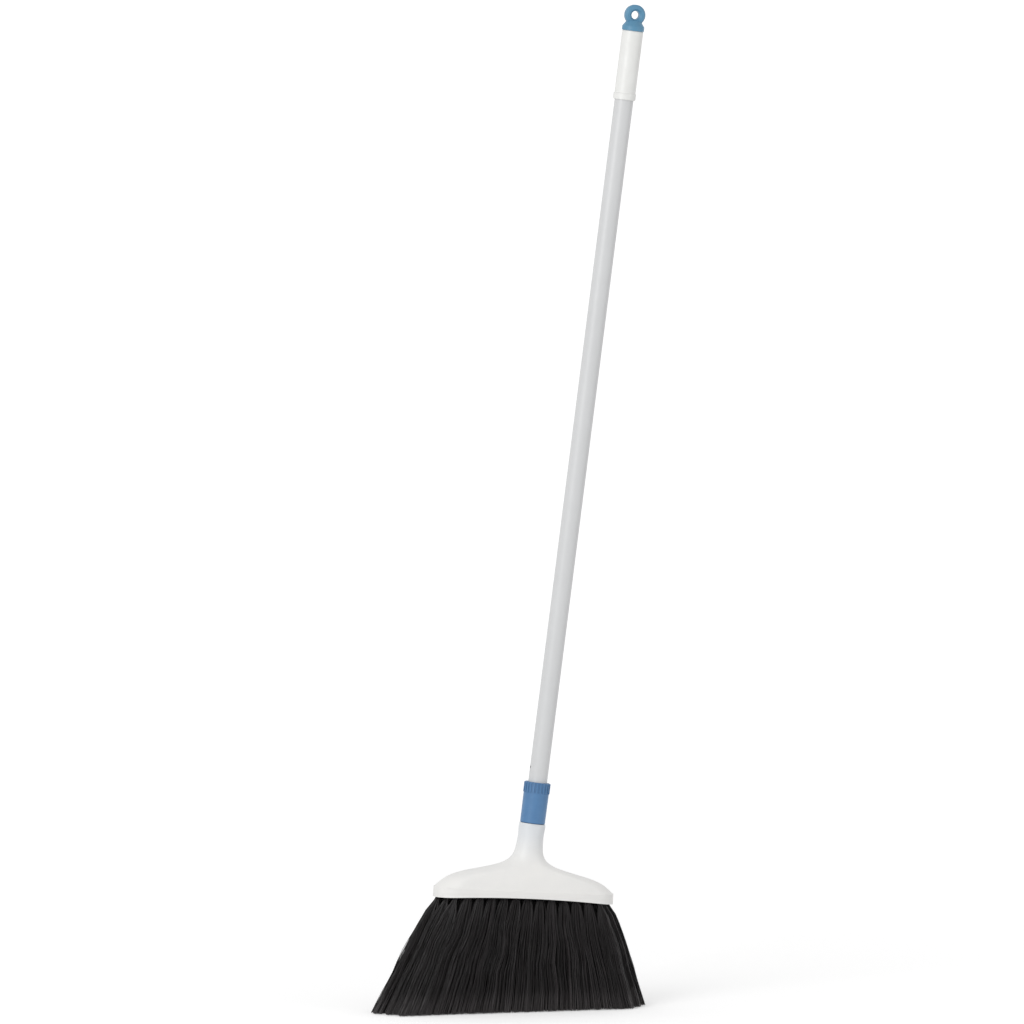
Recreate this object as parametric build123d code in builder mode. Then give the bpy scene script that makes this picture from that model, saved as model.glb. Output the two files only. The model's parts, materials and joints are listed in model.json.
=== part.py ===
"""Outdoor broom: a moulded head with a wide fan of bristles, and a pole that a screw collar holds in it.

The broom stands on its trimmed bristle ends: z = 0 is the floor and +Z is up. The bristles are trimmed to
a slant, so the pole leans towards +X. The origin is the point where the pole's axis meets the floor.
Lengths are in millimetres and angles in degrees.
"""

import os
from math import cos, radians, sin, sqrt

from build123d import *

# Stance and trim of the bristles
LEAN = 7.5
HEAD_TILT = 3.5  # by which the head leans less than the pole
BRISTLE_LENGTH = 150.5  # along the pole's axis, from the floor to the slices that the tufts stand in
TRIM_WIDTH = 374.0
TRIM_DEPTH = 96.0

# Tufts and their strands, each strand standing for a bundle of filaments
ROW_COUNT = 5
ROW_PITCH = 11.0
TUFT_PITCH = 16.0
TUFT_MARGIN = 5.0  # from the last tuft of a row to the edge of the block
RING_STRANDS = 6  # round the one strand in the middle of a tuft
ROOT_RING = 1.75
TIP_RING_WIDTH = 9.0
TIP_RING_DEPTH = 7.0
STRAND_ROOT = 0.8
STRAND_TIP = 2.3
STRAND_SIDES = 3
STRAND_TURN = 90.0
SLICE_THICKNESS = 2.0
SLICE_GAP = 0.4

# Tuft roots in the block, and the flat wires that hold them
ROOT_RADIUS = 2.7
ROOT_SIDES = 6
ROOT_DEPTH = 5.0
ROOT_CLEARANCE = 0.1
ANCHOR_INSET = 0.6  # of each end of a wire from the edge of its root
ANCHOR_WIDTH = 0.5
ANCHOR_HEIGHT = 1.8

# Bristle block and its screws
BLOCK_THICKNESS = 8.5
BLOCK_CLEARANCE = 0.3
SCREW_OFFSETS = (2.5, 5.5)  # in tuft pitches from the middle, between two tufts of the middle row
SCREW_RADIUS = 1.6
SCREW_LENGTH = 14.0
SCREW_POINT = 2.5
SCREW_HEAD_RADIUS = 3.2
SCREW_HEAD_HEIGHT = 2.0
SCREW_CLEARANCE = 0.3
PILOT_CLEARANCE = 0.05
BOSS_WALL = 1.95

# Head cover: skirt, bell-shaped dome, neck and threaded spout
COVER_HALF_LENGTH = 121.0
COVER_HALF_DEPTH = 33.0
COVER_WALL = 2.6
SKIRT_LEDGE = 0.1  # flat left on top of the skirt between its rounded edge and the dome
SKIRT_OVERHANG = 0.5  # by which the middle of the skirt covers the slices
SKIRT_DROP = 5.0  # by which the skirt hangs lower at its two ends
SKIRT_ROUNDING = 0.8
BLOCK_RISE = 2.0  # by which the block stands up into the dome
DOME_RISE = 87.6
NECK_STEP = 0.2  # by which the neck stands out past the collar's foot
NECK_OVAL = 0.3
LENGTH_BELL = (0.315, 5.0)  # share of the rise where the bell turns, and its sharpness there
DEPTH_BELL = (0.45, 4.0)
OVAL_SPLIT = 85.0  # angle of the normal where the end arcs of an oval meet its long arcs
RIB_THICKNESS = 1.8
CROSS_RIB_OFFSETS = (1.0, 4.0, 6.0)  # in tuft pitches from the middle
SPOUT_WALL = 0.9  # outside the keyway
SPOUT_LENGTH = 43.2
SOCKET_RADIUS = 10.0
SOCKET_DEPTH = 62.0

# Pole tube and the ferrule in its foot
POLE_DIAMETER = 25.0
POLE_WALL = 0.7
TUBE_LENGTH = 998.8
PLUG_CLEARANCE = 0.1
PLUG_LENGTH = 40.0
FLANGE_STEP = 1.2  # by which the flange stands out past the tube
FLANGE_THICKNESS = 4.8
SPIGOT_ROOM = 6.2  # left free under the spigot in its socket
SPIGOT_LEAD = 3.0
SPIGOT_CLEARANCE = 0.3
FERRULE_WALL = 3.2
FERRULE_FLOOR = 4.0
KEY_WIDTH = 3.0
KEY_HEIGHT = 1.2
PIN_HEIGHT = 25.0  # above the foot of the tube
PIN_RADIUS = 2.0
PIN_WALL = 0.6
PIN_SLOT = 0.7
PIN_RECESS = 0.3
PIN_CLEARANCE = 0.05

# Screw collar
SEAT_GAP = 0.2
COLLAR_GAP = 0.4
COLLAR_WALL = 2.7
COLLAR_TAPER = 0.3  # by which the collar's foot is drawn in
COLLAR_CHAMFER = 0.8
THREAD_CLEARANCE = 0.95  # leaves room for the thread's ridges
FLANGE_CLEARANCE = 0.3
FLANGE_ROOM = 4.0  # height of the wide part of the collar's bore below the flange
LIP_THICKNESS = 6.0
LIP_CLEARANCE = 0.4
BAND_HEIGHT = 14.0
BAND_RIBS = 24
BAND_RIB_WIDTH = 1.8
BAND_RIB_HEIGHT = 0.7

# Hand grip
GRIP_LENGTH = 91.0
GRIP_WALL = 1.4
GRIP_CLEARANCE = 0.1
GRIP_CHAMFER = 0.8
BEAD_LEDGE = 0.1  # flat left on top of the bead inside its chamfer
BEAD_HEIGHT = 9.0
BEAD_CHAMFER = 0.9

# Hang cap
CAP_STEP = 0.6  # by which the cap stands out past the grip
CAP_RIM = 5.5
CAP_BASE_HEIGHT = 13.0
CAP_TOP_RADIUS = 9.0
CAP_PLUG_LENGTH = 30.0
CAP_PLUG_LEAD = 2.0
EYE_RISE = 7.5  # of the eye's middle above the base
EYE_RADIUS = 13.5
EYE_HOLE_RADIUS = 5.5
EYE_THICKNESS = 12.0
EYE_CHAMFER = 2.5

# Heights in the head, from the foot of its slices
block_foot = SLICE_THICKNESS
block_top = block_foot + BLOCK_THICKNESS
skirt_foot = -SKIRT_OVERHANG
dome_foot = block_top - BLOCK_RISE

# Heights up the pole's axis, from the floor
neck_top = BRISTLE_LENGTH + dome_foot + DOME_RISE
spout_top = neck_top + SPOUT_LENGTH
collar_foot = neck_top + COLLAR_GAP
flange_foot = spout_top + SEAT_GAP
tube_foot = flange_foot + FLANGE_THICKNESS
lip_foot = tube_foot + SEAT_GAP
collar_top = lip_foot + LIP_THICKNESS
tube_top = tube_foot + TUBE_LENGTH

# Radii round the pole's axis, each from the piece inside it
pole_radius = POLE_DIAMETER / 2
plug_radius = pole_radius - POLE_WALL - PLUG_CLEARANCE
flange_radius = pole_radius + FLANGE_STEP
spigot_radius = SOCKET_RADIUS - SPIGOT_CLEARANCE
spout_radius = SOCKET_RADIUS + KEY_HEIGHT + SPIGOT_CLEARANCE + SPOUT_WALL
thread_radius = spout_radius + THREAD_CLEARANCE
collar_radius = max(flange_radius + FLANGE_CLEARANCE, thread_radius) + COLLAR_WALL
collar_foot_radius = collar_radius - COLLAR_TAPER
neck_half_depth = collar_foot_radius + NECK_STEP
neck_half_length = neck_half_depth + NECK_OVAL
grip_bore_radius = pole_radius + GRIP_CLEARANCE
grip_radius = grip_bore_radius + GRIP_WALL
cap_radius = grip_radius + CAP_STEP
boss_radius = SCREW_RADIUS + PILOT_CLEARANCE + BOSS_WALL

# Planes of the pole: square to it, along it with height as the sketch's y, and across it for pin and eye
LEVEL = Plane.XY.rotated((0, LEAN, 0))
PROFILE = Plane((0, 0, 0), x_dir=LEVEL.x_dir, z_dir=-LEVEL.y_dir)
ACROSS = Plane((0, 0, 0), x_dir=LEVEL.y_dir, z_dir=LEVEL.x_dir)
POLE_AXIS = Axis((0, 0, 0), LEVEL.z_dir)

# Planes of the head: along the foot of its slices, and upright with height as the sketch's y
HEAD = Plane(LEVEL.offset(BRISTLE_LENGTH).origin).rotated((0, LEAN - HEAD_TILT, 0))
HEAD_PROFILE = Plane(HEAD.origin, x_dir=HEAD.x_dir, z_dir=-HEAD.y_dir)
HEAD_AXIS = Axis(HEAD.origin, HEAD.z_dir)


def oval_arcs(half_length, half_depth):
    """End radius and the offset between end and long arcs of an oval whose four arcs meet smoothly."""
    split = radians(OVAL_SPLIT)
    offset_length = (half_length - half_depth) / (cos(split) + sin(split) - 1)
    return half_length - offset_length * cos(split), offset_length


class Oval(BaseSketchObject):
    """Filled oval of four arcs that meet smoothly."""

    def __init__(self, half_length, half_depth, mode=Mode.ADD):
        split_angle = radians(OVAL_SPLIT)
        end_radius, _ = oval_arcs(half_length, half_depth)
        x = half_length - end_radius + end_radius * cos(split_angle)
        y = end_radius * sin(split_angle)
        with BuildSketch() as oval:
            with BuildLine():
                ThreePointArc((x, -y), (half_length, 0), (x, y))
                ThreePointArc((x, y), (0, half_depth), (-x, y))
                ThreePointArc((-x, y), (-half_length, 0), (-x, -y))
                ThreePointArc((-x, -y), (0, -half_depth), (x, -y))
            make_face()
        super().__init__(oval.sketch, rotation=0, align=None, mode=mode)


def oval_reach(half_length, half_depth, depth):
    """Half the length of an oval at a distance from its long axis."""
    split = radians(OVAL_SPLIT)
    end_radius, offset_length = oval_arcs(half_length, half_depth)
    if abs(depth) <= end_radius * sin(split):
        return half_length - end_radius + sqrt(end_radius**2 - depth**2)
    long_radius = end_radius + offset_length
    return sqrt(long_radius**2 - (abs(depth) + offset_length * sin(split)) ** 2)


def bell(share, turn, sharpness):
    """Share of the spread that is left at a share of the dome's rise: 1 at its foot, 0 at the neck."""
    return (1 - share) / (1 + (share / turn) ** sharpness)


def dome_share(height):
    """Share of the dome's rise at a height in the head."""
    return (height - dome_foot) / DOME_RISE


def dome_plane(height):
    """Plane of the dome's section at a height in the head, turned from the head's lean to the pole's."""
    share = dome_share(height)
    foot = HEAD.offset(dome_foot).origin
    origin = foot + (LEVEL.offset(neck_top).origin - foot) * share
    return Plane(origin).rotated((0, LEAN - HEAD_TILT * (1 - share), 0))


def dome_half_sizes(height):
    """Half length and half depth of the dome at a height in the head."""
    share = dome_share(height)
    half_length = neck_half_length + (COVER_HALF_LENGTH - neck_half_length) * bell(share, *LENGTH_BELL)
    half_depth = neck_half_depth + (COVER_HALF_DEPTH - neck_half_depth) * bell(share, *DEPTH_BELL)
    return half_length, half_depth


# The block, and the tufts that stand in it row by row
cavity_half_length = COVER_HALF_LENGTH - COVER_WALL
cavity_half_depth = COVER_HALF_DEPTH - COVER_WALL
block_half_length = cavity_half_length - BLOCK_CLEARANCE
block_half_depth = cavity_half_depth - BLOCK_CLEARANCE
rows = []
for row in range(ROW_COUNT):
    steps_out = row - (ROW_COUNT - 1) / 2
    depth = steps_out * ROW_PITCH
    reach = oval_reach(block_half_length, block_half_depth, depth) - TUFT_MARGIN
    first = 0.5 if int(abs(steps_out)) % 2 else 0.0  # every other row stands half a pitch along
    right_half = [(first + step) * TUFT_PITCH for step in range(int(reach / TUFT_PITCH - first) + 1)]
    rows.append([(x, depth) for x in sorted({side * x for x in right_half for side in (-1, 1)})])
tufts = [tuft for row in rows for tuft in row]
screws = [(side * pitches * TUFT_PITCH, 0) for pitches in SCREW_OFFSETS for side in (-1, 1)]

# The fan: how far each tuft's middle moves out on its way to the floor
width_spread = (TRIM_WIDTH / 2 - TIP_RING_WIDTH - STRAND_TIP) / max(x for x, _ in tufts)
depth_spread = (TRIM_DEPTH / 2 - TIP_RING_DEPTH - STRAND_TIP) / max(y for _, y in tufts)
strand_foot = -BRISTLE_LENGTH - TRIM_WIDTH * sin(radians(LEAN))  # height in the head, below all of the floor


def strand(tuft, root_offset, tip_offset):
    """One tapered strand from its slice down past the floor."""
    root = (tuft[0] + root_offset[0], tuft[1] + root_offset[1])
    floor_point = (tuft[0] * width_spread + tip_offset[0], tuft[1] * depth_spread + tip_offset[1], 0)
    tip = HEAD.to_local_coords(Vector(floor_point))
    share = strand_foot / tip.Z
    foot = (root[0] + (tip.X - root[0]) * share, root[1] + (tip.Y - root[1]) * share)
    foot_radius = STRAND_ROOT + (STRAND_TIP - STRAND_ROOT) * share
    with BuildPart() as one_strand:
        with BuildSketch(HEAD.offset(strand_foot)):
            with Locations(foot):
                RegularPolygon(foot_radius, STRAND_SIDES, rotation=STRAND_TURN)
        with BuildSketch(HEAD):
            with Locations(root):
                RegularPolygon(STRAND_ROOT, STRAND_SIDES, rotation=STRAND_TURN)
        loft(ruled=True)
    return one_strand.part.solid()


def tuft_strands(tuft):
    """The strand in the middle of a tuft, and the ring of strands round it."""
    strands = [strand(tuft, (0, 0), (0, 0))]
    for index in range(RING_STRANDS):
        turn = radians(360 * index / RING_STRANDS)
        root_offset = (ROOT_RING * cos(turn), ROOT_RING * sin(turn))
        tip_offset = (TIP_RING_WIDTH * cos(turn), TIP_RING_DEPTH * sin(turn))
        strands.append(strand(tuft, root_offset, tip_offset))
    return strands


def finish(builder, name):
    """Label a finished piece and write its file."""
    builder.part.label = name
    export_step(builder.part, f"parts/{name}.step")


os.makedirs("parts", exist_ok=True)

# Bristle rows, front to back: tufts with their roots and the slice of backing they stand in. The rows behind
# the middle are the mirror image of those before it.
for number, row in enumerate(rows[: (ROW_COUNT + 1) // 2], start=1):
    depth = row[0][1]
    with BuildPart() as backing:
        with BuildSketch(HEAD):
            Oval(block_half_length, block_half_depth)
            with Locations((0, depth)):
                Rectangle(2 * block_half_length, ROW_PITCH - SLICE_GAP, mode=Mode.INTERSECT)
            with Locations(*screws):
                Circle(SCREW_HEAD_RADIUS + SCREW_CLEARANCE, mode=Mode.SUBTRACT)
        extrude(amount=SLICE_THICKNESS)
        with BuildSketch(HEAD.offset(block_foot)):
            with Locations(*row):
                RegularPolygon(ROOT_RADIUS, ROOT_SIDES)
        extrude(amount=ROOT_DEPTH)
    fan = [one for tuft in row for one in tuft_strands(tuft)]
    with BuildPart() as bristle_row:
        add(backing.part.solid().fuse(*fan, glue=True))
        split(bisect_by=Plane.XY, keep=Keep.TOP)
    finish(bristle_row, f"bristle_row_{number}")
    if depth < 0:
        with BuildPart() as mirrored_row:
            mirror(bristle_row.part, about=Plane.XZ)
        finish(mirrored_row, f"bristle_row_{ROW_COUNT + 1 - number}")

# Tuft anchors: a short flat wire across the top of each tuft's root
anchor_length = 2 * (ROOT_RADIUS - ANCHOR_INSET)
with BuildPart() as tuft_anchors:
    with BuildSketch(HEAD.offset(block_foot + ROOT_DEPTH)):
        with Locations(*tufts):
            Rectangle(ANCHOR_WIDTH, anchor_length)
    extrude(amount=ANCHOR_HEIGHT)
finish(tuft_anchors, "tuft_anchors")

# Bristle block: the plate inside the skirt, with a blind hole for each tuft and counterbored screw holes
with BuildPart() as bristle_block:
    with BuildSketch(HEAD.offset(block_foot)):
        Oval(block_half_length, block_half_depth)
    extrude(amount=BLOCK_THICKNESS)
    with BuildSketch(HEAD.offset(block_foot)):
        with Locations(*tufts):
            RegularPolygon(ROOT_RADIUS + ROOT_CLEARANCE, ROOT_SIDES)
    extrude(amount=ROOT_DEPTH + ANCHOR_HEIGHT + ROOT_CLEARANCE, mode=Mode.SUBTRACT)
    with BuildSketch(HEAD.offset(block_foot)):
        with Locations(*screws):
            Circle(SCREW_RADIUS + SCREW_CLEARANCE)
    extrude(amount=BLOCK_THICKNESS, mode=Mode.SUBTRACT)
    with BuildSketch(HEAD.offset(block_foot)):
        with Locations(*screws):
            Circle(SCREW_HEAD_RADIUS + SCREW_CLEARANCE)
    extrude(amount=SCREW_HEAD_HEIGHT, mode=Mode.SUBTRACT)
finish(bristle_block, "bristle_block")

# Block screws: four self-tapping screws, heads in the counterbores and points in the bosses of the cover
screw_seat = block_foot + SCREW_HEAD_HEIGHT
with BuildPart() as block_screws:
    with BuildSketch(HEAD.offset(block_foot)):
        with Locations(*screws):
            Circle(SCREW_HEAD_RADIUS)
    extrude(amount=SCREW_HEAD_HEIGHT)
    with BuildSketch(HEAD.offset(screw_seat)):
        with Locations(*screws):
            Circle(SCREW_RADIUS)
    extrude(amount=SCREW_LENGTH)
    tips = faces().filter_by(HEAD).group_by(HEAD_AXIS)[-1].edges()
    chamfer(tips, length=SCREW_POINT, length2=SCREW_RADIUS / 2)
finish(block_screws, "block_screws")

# The hollow of the cover: the block's seat, and above it the dome's inside without its ribs and bosses.
# Sections are shares of the way up.
HOLLOW_SECTIONS = (0, 0.12, 0.25, 0.4, 0.55, 0.75, 1)
cavity_top = spout_top - SOCKET_DEPTH - COVER_WALL - BRISTLE_LENGTH
with BuildPart() as cover_hollow:
    for share in HOLLOW_SECTIONS:
        height = block_top + share * (cavity_top - block_top)
        half_length, half_depth = dome_half_sizes(height + COVER_WALL)
        with BuildSketch(dome_plane(height)):
            Oval(half_length - COVER_WALL, half_depth - COVER_WALL)
    loft()
    with BuildSketch(HEAD.offset(block_top)):
        Rectangle(2 * COVER_HALF_LENGTH, RIB_THICKNESS)
        for pitches in CROSS_RIB_OFFSETS:
            with Locations((-pitches * TUFT_PITCH, 0), (pitches * TUFT_PITCH, 0)):
                Rectangle(RIB_THICKNESS, 2 * COVER_HALF_DEPTH)
        with Locations(*screws):
            Circle(boss_radius)
    extrude(amount=DOME_RISE, mode=Mode.SUBTRACT)
    with BuildSketch(HEAD.offset(block_top)):
        Oval(cavity_half_length, cavity_half_depth)
    extrude(amount=-(block_top - skirt_foot + 2 * SKIRT_DROP))

# Head cover: stepped skirt with an arched lower edge, bell-shaped dome, neck, and spout with a keyed socket
DOME_SECTIONS = (0, 0.06, 0.13, 0.2, 0.26, 0.32, 0.38, 0.45, 0.55, 0.7, 0.85, 1)
skirt_step = SKIRT_ROUNDING + SKIRT_LEDGE
with BuildPart() as head_cover:
    for share in DOME_SECTIONS:
        height = dome_foot + share * DOME_RISE
        with BuildSketch(dome_plane(height)):
            Oval(*dome_half_sizes(height))
    loft()
    with BuildSketch(HEAD.offset(dome_foot)):
        Oval(COVER_HALF_LENGTH + skirt_step, COVER_HALF_DEPTH + skirt_step)
    extrude(amount=-(dome_foot - skirt_foot + SKIRT_DROP))
    ledge = faces().filter_by(HEAD).sort_by(HEAD_AXIS)[1]
    fillet(ledge.outer_wire().edges(), SKIRT_ROUNDING)
    with BuildSketch(LEVEL.offset(neck_top)):
        Circle(spout_radius)
    extrude(amount=SPOUT_LENGTH)
    with BuildSketch(HEAD_PROFILE):
        with BuildLine():
            end_x = COVER_HALF_LENGTH + skirt_step
            end_foot = skirt_foot - SKIRT_DROP
            below = end_foot - SKIRT_DROP
            ThreePointArc((-end_x, end_foot), (0, skirt_foot), (end_x, end_foot))
            Polyline((end_x, end_foot), (end_x, below), (-end_x, below), (-end_x, end_foot))
        make_face()
    extrude(amount=2 * COVER_HALF_DEPTH, both=True, mode=Mode.SUBTRACT)
    add(cover_hollow.part, mode=Mode.SUBTRACT)
    with BuildSketch(LEVEL.offset(spout_top)):
        Circle(SOCKET_RADIUS)
        with Locations((0, -SOCKET_RADIUS)):
            Rectangle(KEY_WIDTH + 2 * SPIGOT_CLEARANCE, 2 * (KEY_HEIGHT + SPIGOT_CLEARANCE))
    extrude(amount=-SOCKET_DEPTH, mode=Mode.SUBTRACT)
    with BuildSketch(HEAD.offset(block_top)):
        with Locations(*screws):
            Circle(SCREW_RADIUS + PILOT_CLEARANCE)
    extrude(amount=screw_seat + SCREW_LENGTH - block_top, mode=Mode.SUBTRACT)
finish(head_cover, "head_cover")

# Pole ferrule: plug in the tube, flange that the collar pulls down, and keyed spigot that fits the socket
spigot_foot = spout_top - SOCKET_DEPTH + SPIGOT_ROOM
core_radius = spigot_radius - FERRULE_WALL
plug_top = tube_foot + PLUG_LENGTH
with BuildPart() as pole_ferrule:
    with BuildSketch(PROFILE):
        with BuildLine():
            Polyline(
                (0, spigot_foot),
                (spigot_radius - SPIGOT_LEAD / 2, spigot_foot),
                (spigot_radius, spigot_foot + SPIGOT_LEAD),
                (spigot_radius, flange_foot),
                (flange_radius, flange_foot),
                (flange_radius, tube_foot),
                (plug_radius, tube_foot),
                (plug_radius, plug_top),
                (core_radius, plug_top),
                (core_radius, spigot_foot + FERRULE_FLOOR),
                (0, spigot_foot + FERRULE_FLOOR),
                close=True,
            )
        make_face()
    revolve(axis=POLE_AXIS)
    with BuildSketch(LEVEL.offset(spigot_foot + SPIGOT_LEAD)):
        with Locations((0, -(spigot_radius + KEY_HEIGHT / 2))):
            Rectangle(KEY_WIDTH, KEY_HEIGHT + SPIGOT_CLEARANCE)
    extrude(amount=flange_foot - spigot_foot - SPIGOT_LEAD)
    with BuildSketch(ACROSS):
        with Locations((0, tube_foot + PIN_HEIGHT)):
            Circle(PIN_RADIUS + PIN_CLEARANCE)
    extrude(amount=pole_radius, both=True, mode=Mode.SUBTRACT)
finish(pole_ferrule, "pole_ferrule")

# Pole tube: thin coated steel tube that stands on the ferrule's flange
with BuildPart() as pole_tube:
    with BuildSketch(LEVEL.offset(tube_foot)):
        Circle(pole_radius)
        Circle(pole_radius - POLE_WALL, mode=Mode.SUBTRACT)
    extrude(amount=TUBE_LENGTH)
    with BuildSketch(ACROSS):
        with Locations((0, tube_foot + PIN_HEIGHT)):
            Circle(PIN_RADIUS + PIN_CLEARANCE)
    extrude(amount=POLE_DIAMETER, both=True, mode=Mode.SUBTRACT)
finish(pole_tube, "pole_tube")

# Ferrule pin: slotted spring pin across tube and plug, a little below flush at both ends
with BuildPart() as ferrule_pin:
    with BuildSketch(ACROSS):
        with Locations((0, tube_foot + PIN_HEIGHT)):
            Circle(PIN_RADIUS)
            Circle(PIN_RADIUS - PIN_WALL, mode=Mode.SUBTRACT)
        with Locations((0, tube_foot + PIN_HEIGHT + PIN_RADIUS)):
            Rectangle(PIN_SLOT, PIN_RADIUS, mode=Mode.SUBTRACT)
    extrude(amount=pole_radius - PIN_RECESS, both=True)
finish(ferrule_pin, "ferrule_pin")

# Screw collar: turns on the pole, its lip over the ferrule's flange and its bore round the spout
flange_bore_radius = flange_radius + FLANGE_CLEARANCE
with BuildPart() as screw_collar:
    with BuildSketch(PROFILE):
        with BuildLine():
            Polyline(
                (thread_radius, collar_foot),
                (collar_foot_radius - COLLAR_CHAMFER, collar_foot),
                (collar_foot_radius, collar_foot + COLLAR_CHAMFER),
                (collar_radius, collar_top - BAND_HEIGHT),
                (collar_radius, collar_top - COLLAR_CHAMFER),
                (collar_radius - COLLAR_CHAMFER, collar_top),
                (pole_radius + LIP_CLEARANCE, collar_top),
                (pole_radius + LIP_CLEARANCE, lip_foot),
                (flange_bore_radius, lip_foot),
                (flange_bore_radius, flange_foot - FLANGE_ROOM),
                (thread_radius, flange_foot - FLANGE_ROOM),
                close=True,
            )
        make_face()
    revolve(axis=POLE_AXIS)
    with BuildSketch(LEVEL.offset(collar_top - BAND_HEIGHT)):
        with PolarLocations(collar_radius, BAND_RIBS):
            Rectangle(2 * BAND_RIB_HEIGHT, BAND_RIB_WIDTH)
    extrude(amount=BAND_HEIGHT - COLLAR_CHAMFER)
finish(screw_collar, "screw_collar")

# Hand grip: sleeve on the top of the tube, with a bead round its lower end
grip_top = tube_top - SEAT_GAP
grip_foot = grip_top - GRIP_LENGTH
bead_radius = grip_radius + BEAD_LEDGE + BEAD_CHAMFER
with BuildPart() as hand_grip:
    with BuildSketch(PROFILE) as sleeve:
        with BuildLine():
            Polyline(
                (grip_bore_radius, grip_foot),
                (bead_radius, grip_foot),
                (bead_radius, grip_foot + BEAD_HEIGHT),
                (grip_radius, grip_foot + BEAD_HEIGHT),
                (grip_radius, grip_top),
                (grip_bore_radius, grip_top),
                close=True,
            )
        make_face()
        chamfer(sleeve.vertices().group_by(Axis.X)[-1], BEAD_CHAMFER)
        chamfer(sleeve.vertices().group_by(Axis.Y)[-1].sort_by(Axis.X)[-1], GRIP_CHAMFER)
    revolve(axis=POLE_AXIS)
finish(hand_grip, "hand_grip")

# Hang cap: a thick eye to hang it by, a base that covers tube and grip, and a plug in the top of the tube
base_top = tube_top + CAP_BASE_HEIGHT
with BuildPart() as hang_cap:
    with BuildSketch(PROFILE):
        with Locations((0, base_top + EYE_RISE)):
            Circle(EYE_RADIUS)
            Circle(EYE_HOLE_RADIUS, mode=Mode.SUBTRACT)
    extrude(amount=EYE_THICKNESS / 2, both=True)
    chamfer(edges().filter_by(GeomType.CIRCLE), EYE_CHAMFER)
    with BuildSketch(PROFILE):
        with BuildLine():
            Polyline(
                (0, tube_top - CAP_PLUG_LENGTH),
                (plug_radius - CAP_PLUG_LEAD / 2, tube_top - CAP_PLUG_LENGTH),
                (plug_radius, tube_top - CAP_PLUG_LENGTH + CAP_PLUG_LEAD),
                (plug_radius, tube_top),
                (cap_radius, tube_top),
                (cap_radius, tube_top + CAP_RIM),
                (CAP_TOP_RADIUS, base_top),
                (0, base_top),
                close=True,
            )
        make_face()
    revolve(axis=POLE_AXIS)
finish(hang_cap, "hang_cap")
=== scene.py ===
import json
from math import cos, pi, radians, sin

import bpy
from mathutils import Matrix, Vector


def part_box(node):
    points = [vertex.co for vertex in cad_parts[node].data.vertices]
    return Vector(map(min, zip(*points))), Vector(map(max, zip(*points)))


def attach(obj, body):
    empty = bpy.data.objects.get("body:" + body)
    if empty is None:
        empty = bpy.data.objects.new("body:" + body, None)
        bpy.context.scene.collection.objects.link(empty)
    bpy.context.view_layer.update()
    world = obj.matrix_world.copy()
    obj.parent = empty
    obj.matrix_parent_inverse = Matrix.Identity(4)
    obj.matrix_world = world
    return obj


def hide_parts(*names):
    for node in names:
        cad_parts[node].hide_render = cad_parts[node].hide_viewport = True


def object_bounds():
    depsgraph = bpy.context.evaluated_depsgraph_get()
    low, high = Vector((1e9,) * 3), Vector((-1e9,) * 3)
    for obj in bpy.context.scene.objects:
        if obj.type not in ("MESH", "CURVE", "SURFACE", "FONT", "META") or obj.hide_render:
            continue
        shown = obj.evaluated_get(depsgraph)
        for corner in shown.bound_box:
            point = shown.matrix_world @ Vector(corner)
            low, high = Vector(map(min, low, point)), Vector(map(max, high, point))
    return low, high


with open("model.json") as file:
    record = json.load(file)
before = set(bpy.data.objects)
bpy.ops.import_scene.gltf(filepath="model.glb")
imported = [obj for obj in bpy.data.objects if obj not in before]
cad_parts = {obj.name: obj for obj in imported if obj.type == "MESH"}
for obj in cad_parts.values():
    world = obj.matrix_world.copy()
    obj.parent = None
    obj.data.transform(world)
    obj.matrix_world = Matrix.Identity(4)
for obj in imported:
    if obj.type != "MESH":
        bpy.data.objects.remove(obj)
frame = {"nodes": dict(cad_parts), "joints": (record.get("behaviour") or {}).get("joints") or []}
cad_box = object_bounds()


# Bristles: stiff black filaments of extruded plastic, folded in half round flat wires and driven into the
# block in tufts, five rows of them. They fan out to the floor, where they are all trimmed to one level.
FILAMENTS_IN_TUFT = 150
END_FULLNESS = 1.6  # of the two tufts at the ends of a row, which stand free
FILAMENT_RADIUS = 0.00042
FILAMENT_POINTS = 13
FILAMENT_SIDES = 3
TUFT_ROOT = 0.0017  # half the side of the square that a tuft fills at its hole
TUFT_ROOT_INSET = 0.0015  # of the visible roots into their holes
TUFT_FLARE_WIDTH = 0.0140  # half of what a tuft fills at the trim, along its row
TUFT_FLARE_DEPTH = 0.0090
TUFT_GAP = 0.0055  # more than this between two corners of the anchors means the next row or tuft
HELD = 0.03  # share of a filament's length that the skirt keeps from spreading
END_HELD = 0.083  # the same at the ends of a row, where the skirt hangs lower
SPLAY = 0.34  # power of the spread below the skirt, where a tuft widens most at first
STRAY = 0.0010  # of a filament's end from its even place
BOW = 0.0014  # of a filament out of its straight line
WAVE = 0.0007  # of the crimp that a filament keeps from its making
WAVES_IN_FILAMENT = 2.2
SWAY = 0.0055  # of neighbouring filaments together
SWAYS_IN_METRE = 24.0
END_STEADINESS = 0.75  # share of the sway that the ends of a row are free of
CLUMPS_IN_METRE = 75.0  # of filaments that lie together and share a painted sheen streak
TRIM_UNEVENNESS = 0.0010
FILAMENT_BLACK = (0.0050, 0.0038, 0.0041, 1)
FILAMENT_GREY = (0.0275, 0.0230, 0.0244, 1)  # of the palest filaments
DUST_GREY = (0.068, 0.061, 0.062, 1)
DUST_COVER = 0.62  # share of the dust's colour at the cut ends
DUST_START, DUST_FULL = 0.78, 0.96  # along a filament


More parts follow.
